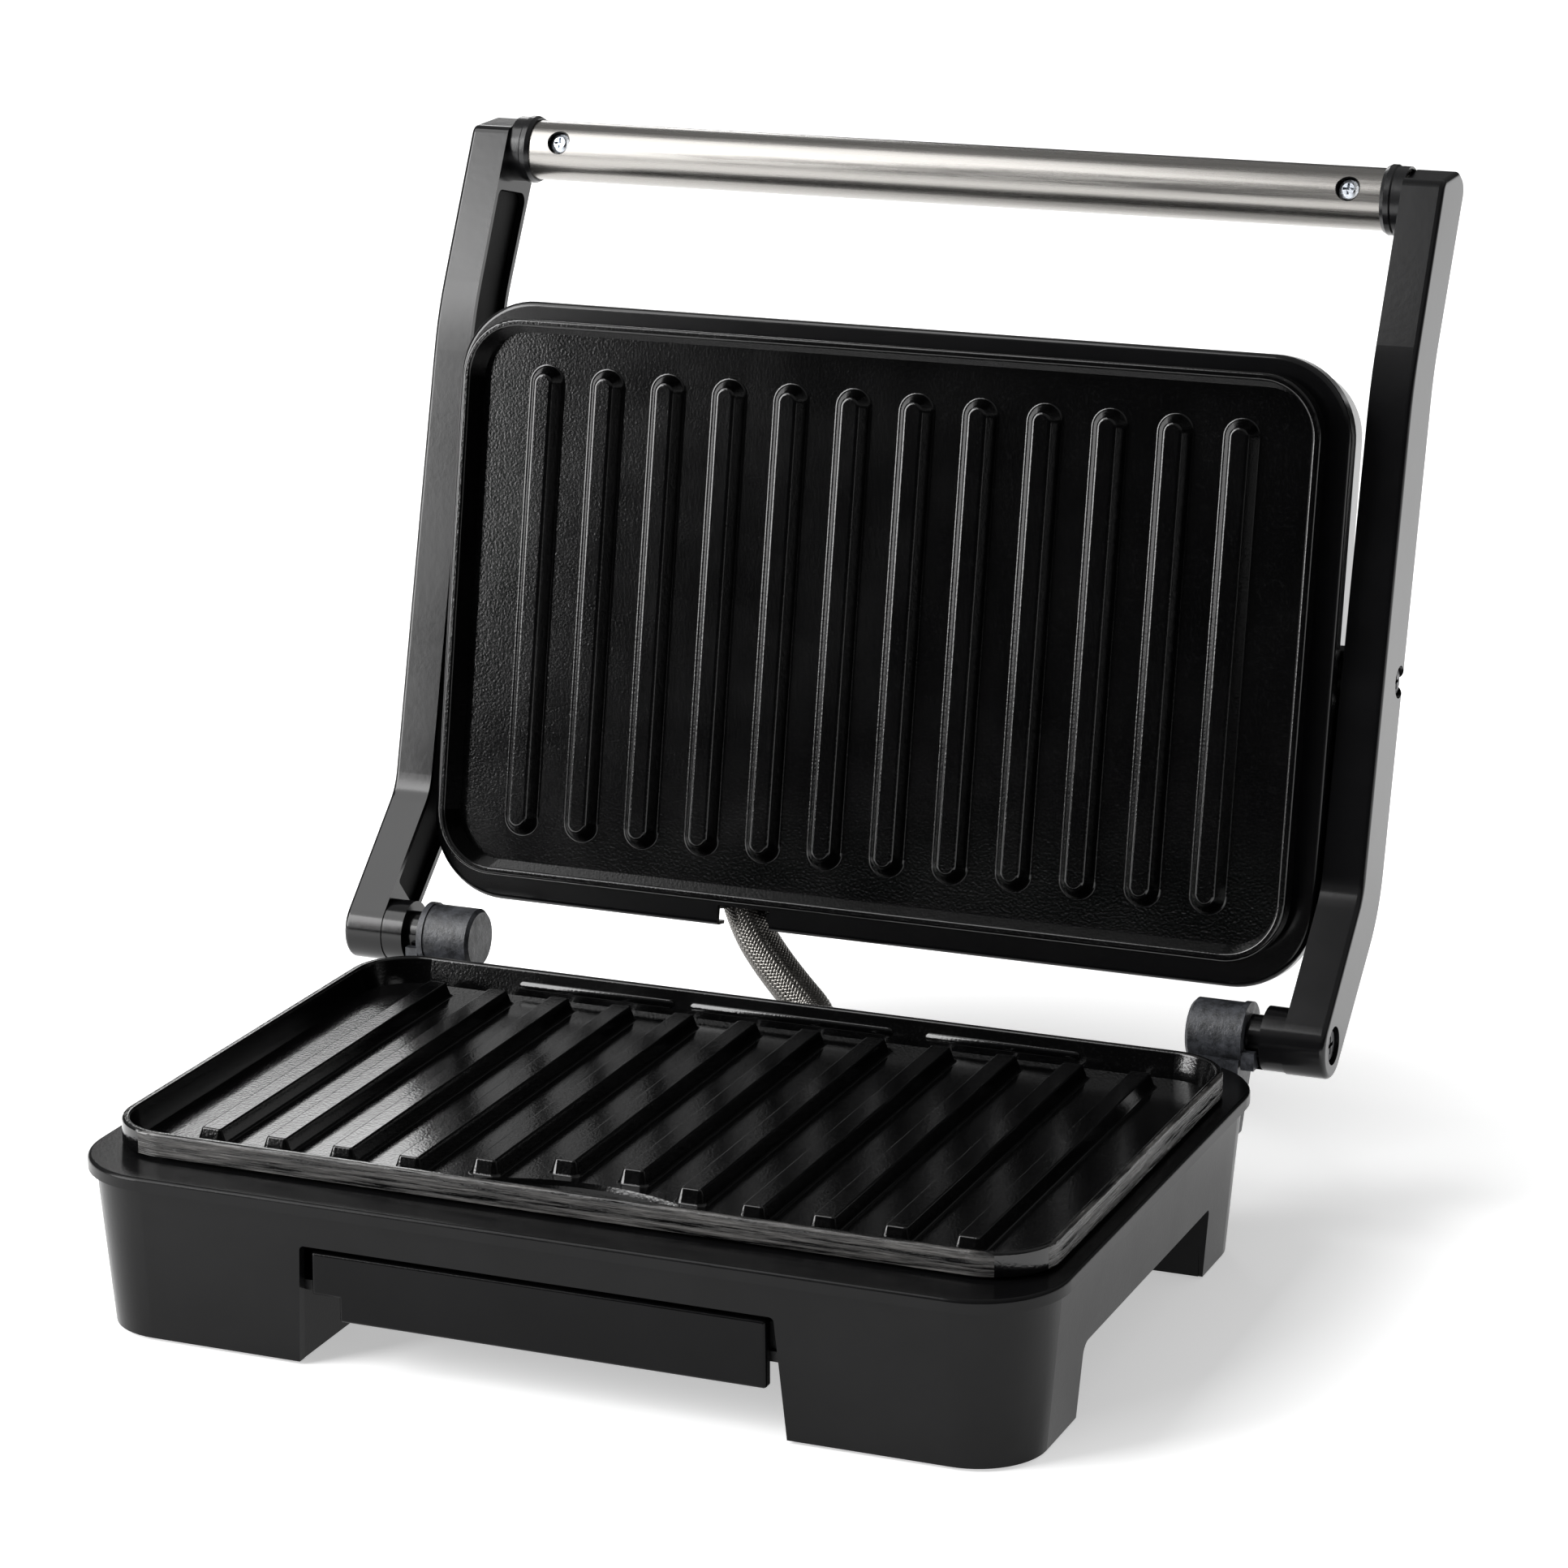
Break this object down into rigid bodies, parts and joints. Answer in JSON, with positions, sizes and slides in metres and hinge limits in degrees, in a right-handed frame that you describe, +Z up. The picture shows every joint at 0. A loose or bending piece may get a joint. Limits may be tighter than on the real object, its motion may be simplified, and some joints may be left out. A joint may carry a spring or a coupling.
{
  "type": "panini press",
  "caption": "Countertop contact grill with ribbed plates, a floating lid on swing arms with a tubular handle, and a pull-out drip tray.",
  "frame": {"origin": "on the ground under the middle of the whole press with the lid open", "axes": "+X to the right seen from the front, +Y to the rear, +Z up; the hinge axis runs along X"},
  "size_m": [0.272, 0.2822, 0.255],
  "materials": {
    "grill_plate": "black non-stick coating on cast aluminium, fine texture",
    "base_shell": "semi-gloss black",
    "lid_shell": "glossy black",
    "arm_shell": "glossy black",
    "tray": "satin black",
    "foot_rubber": "matte",
    "hinge_metal": "dark grey satin",
    "screw_steel": "bright zinc",
    "handle_steel": "brushed",
    "black_plastic": "satin black",
    "element_sheath": "dull grey sheath",
    "reflector_steel": "bright rolled sheet",
    "control_metal": "dull plated",
    "terminal_plastic": "ivory",
    "gland_rubber": "matte",
    "braided_steel": "braided",
    "lens_red": "translucent red",
    "lens_green": "translucent green"
  },
  "bodies": {
    "base": {"base_housing": "base_shell", "base_bottom_cover": "base_shell", "lower_plate": "grill_plate", "lower_element": "element_sheath", "lower_reflector": "reflector_steel", "thermostat": "control_metal", "thermal_fuse": "control_metal", "terminal_block": "terminal_plastic", "base_screw_1": "screw_steel", "base_screw_2": "screw_steel", "base_screw_3": "screw_steel", "base_screw_4": "screw_steel", "bracket_screw_left": "screw_steel", "bracket_screw_right": "screw_steel", "foot_front_left": "foot_rubber", "foot_front_right": "foot_rubber", "foot_rear_left": "foot_rubber", "foot_rear_right": "foot_rubber", "hinge_knuckle_left": "hinge_metal", "hinge_knuckle_right": "hinge_metal", "hinge_screw_left": "screw_steel", "hinge_screw_right": "screw_steel", "conduit_ferrule_base": "braided_steel", "supply_gland": "gland_rubber", "conduit": "braided_steel", "plate_screw_1": "screw_steel", "plate_screw_2": "screw_steel", "plate_screw_3": "screw_steel", "plate_screw_4": "screw_steel", "rear_panel": "base_shell"},
    "arms": {"arm_left": "arm_shell", "arm_right": "arm_shell", "arm_cover_left": "arm_shell", "arm_cover_right": "arm_shell", "handle_tube": "handle_steel", "handle_collar_left": "black_plastic", "handle_collar_right": "black_plastic", "handle_screw_left": "screw_steel", "handle_screw_right": "screw_steel"},
    "lid": {"lid_frame": "lid_shell", "lid_cover": "lid_shell", "upper_plate": "grill_plate", "upper_element": "element_sheath", "upper_reflector": "reflector_steel", "lid_screw_1": "screw_steel", "lid_screw_2": "screw_steel", "lid_screw_3": "screw_steel", "lid_screw_4": "screw_steel", "pivot_boss_left": "black_plastic", "pivot_boss_right": "black_plastic", "pivot_screw_left": "screw_steel", "pivot_screw_right": "screw_steel", "lens_power": "lens_red", "lens_ready": "lens_green", "conduit_ferrule_lid": "braided_steel"},
    "drip_tray": {"drip_tray": "tray"}
  },
  "joints": [
    {"name": "arms_hinge", "type": "hinge", "parent": "base", "child": "arms", "pos_m": [0, 0.0411, 0.048], "axis": [1, 0, 0], "range_deg": [0, 102.3], "deforming": ["conduit"]},
    {"name": "lid_float", "type": "hinge", "parent": "arms", "child": "lid", "pos_m": [0, 0.09263, 0.12907], "axis": [1, 0, 0], "range_deg": [-4, 0]},
    {"name": "tray_slide", "type": "slide", "parent": "base", "child": "drip_tray", "axis": [0, -1, 0], "range_m": [0, 0.11]}
  ]
}
